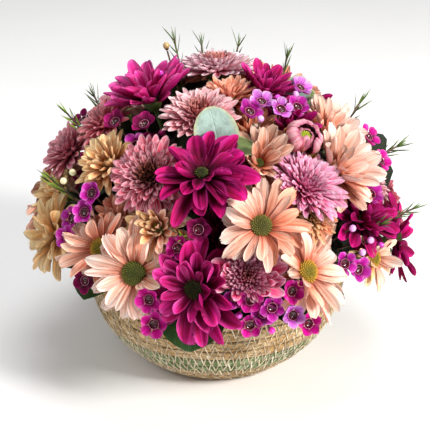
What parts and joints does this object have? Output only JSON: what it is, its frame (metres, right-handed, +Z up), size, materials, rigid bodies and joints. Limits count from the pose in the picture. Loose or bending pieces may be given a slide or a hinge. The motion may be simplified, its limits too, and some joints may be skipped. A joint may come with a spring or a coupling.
{
  "type": "flower basket arrangement",
  "caption": "Dome of cut chrysanthemums, waxflower and broad leaves standing in foam inside a low round basket of sewn grass strips.",
  "frame": {"origin": "middle of the basket's flat foot, on the surface it stands on", "axes": "+Z up, -Y towards the viewer of the picture (the front), +X to that viewer's right"},
  "size_m": [0.3096, 0.3162, 0.2524],
  "materials": {
    "straw": "dry woven grass strips with cream raffia stitches and a sage green band",
    "liner_film": "thin dark film",
    "flower_foam": "wet green foam",
    "flower_eye": "matte, finely pebbled",
    "broad_leaf": "matte dark green leaf",
    "round_leaf": "waxy grey-green leaf",
    "waxflower": "waxy violet petals, brown-green stems",
    "petal_peach": "soft satin petals",
    "petal_apricot": "soft satin petals",
    "petal_coral": "soft satin petals",
    "petal_tan": "soft satin petals",
    "petal_magenta": "soft satin petals",
    "petal_pink": "soft satin petals",
    "petal_rose": "soft satin petals",
    "petal_candy": "soft satin petals"
  },
  "bodies": {
    "root": {"apricot_daisy_right": "petal_apricot", "apricot_mum_left": "petal_apricot", "back_coral_mums": "petal_coral", "back_magenta_daisies_left": "petal_magenta", "back_magenta_daisies_right": "petal_magenta", "back_peach_daisies_left": "petal_peach", "back_peach_daisies_right": "petal_peach", "back_pink_mums": "petal_pink", "back_rose_mums": "petal_rose", "basket": "straw", "collar_leaf_front": "broad_leaf", "collar_leaves_back": "broad_leaf", "collar_leaves_back_right": "broad_leaf", "collar_leaves_front_left": "broad_leaf", "collar_leaves_left": "broad_leaf", "collar_leaves_right": "broad_leaf", "coral_mum_left": "petal_coral", "coral_mum_top": "petal_coral", "eucalyptus_back": "round_leaf", "eucalyptus_right": "round_leaf", "eucalyptus_upper": "round_leaf", "foam": "flower_foam", "liner": "liner_film", "magenta_daisies_low": "petal_magenta", "magenta_daisies_low_eye": "flower_eye", "magenta_daisies_right": "petal_magenta", "magenta_daisies_upper_right": "petal_magenta", "magenta_daisy_front": "petal_magenta", "magenta_daisy_upper_left": "petal_magenta", "orange_mum_right": "petal_coral", "peach_daisies_left": "petal_peach", "peach_daisies_right": "petal_peach", "peach_daisies_upper": "petal_peach", "peach_daisy_front": "petal_peach", "peach_daisy_front_eye": "flower_eye", "peach_daisy_low_left": "petal_peach", "peach_daisy_low_right": "petal_peach", "peach_daisy_low_right_eye": "flower_eye", "pink_anemone_low": "petal_candy", "pink_button_bud": "petal_candy", "pink_mum_right": "petal_candy", "pink_mum_top": "petal_pink", "pink_mum_upper": "petal_pink", "pink_mums_right": "petal_pink", "rose_mum_left": "petal_rose", "rose_mums_left": "petal_rose", "tan_daisies_left": "petal_tan", "waxflower_back_left": "waxflower", "waxflower_back_right": "waxflower", "waxflower_far_left": "waxflower", "waxflower_far_right": "waxflower", "waxflower_left": "waxflower", "waxflower_middle": "waxflower", "waxflower_right": "waxflower", "waxflower_rim_left": "waxflower", "waxflower_rim_right": "waxflower", "waxflower_top": "waxflower", "waxflower_top_right": "waxflower", "waxflower_upper_left": "waxflower", "waxflower_upper_right": "waxflower"}
  },
  "joints": []
}
